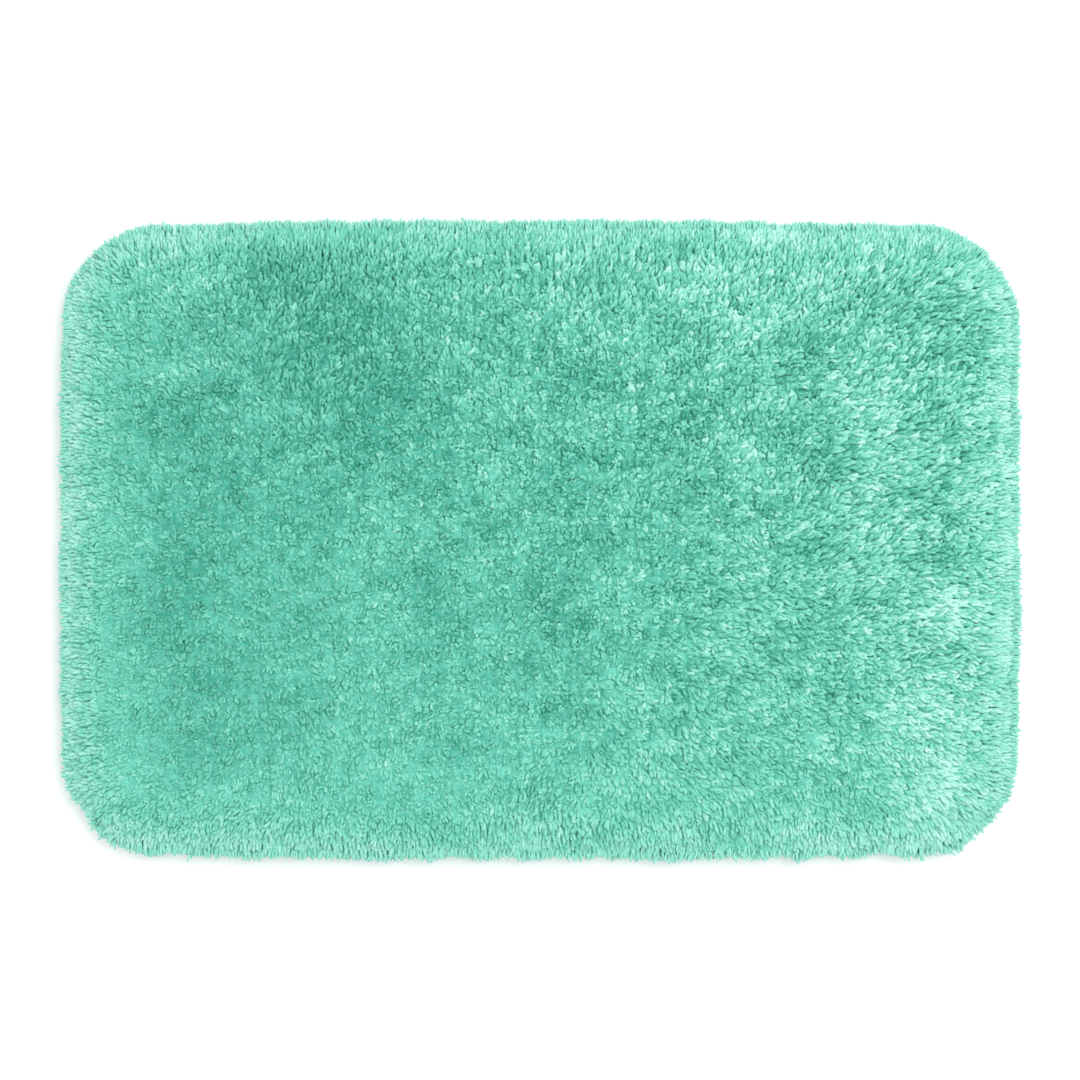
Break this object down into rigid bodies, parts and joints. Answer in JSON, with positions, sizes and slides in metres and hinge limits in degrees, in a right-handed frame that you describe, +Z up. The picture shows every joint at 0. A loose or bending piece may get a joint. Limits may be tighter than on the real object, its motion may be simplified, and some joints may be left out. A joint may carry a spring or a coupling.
{
  "type": "bath mat",
  "caption": "Rectangular tufted bath mat with rounded corners: deep plush pile on a cloth base, taped edge and a non-slip underside that lies flat on the floor.",
  "frame": {"origin": "on the floor under the middle of the mat, which is the bottom centre of its bounding box", "axes": "+X along the long side, +Y along the short side towards the back edge, +Z up out of the pile"},
  "size_m": [0.9, 0.6, 0.032],
  "materials": {
    "plush_yarn": "matte",
    "woven_cloth": "matte",
    "latex": "matte",
    "thermoplastic_rubber": "matte",
    "polyester_tape": "matte",
    "polyester_thread": "satin",
    "label_satin": "satin"
  },
  "bodies": {
    "root": {"pile": "plush_yarn", "primary_backing": "woven_cloth", "latex_precoat": "latex", "nonslip_backing": "thermoplastic_rubber", "edge_binding": "polyester_tape", "binding_needle_thread": "polyester_thread", "binding_bobbin_thread": "polyester_thread", "care_label": "label_satin"}
  },
  "joints": []
}
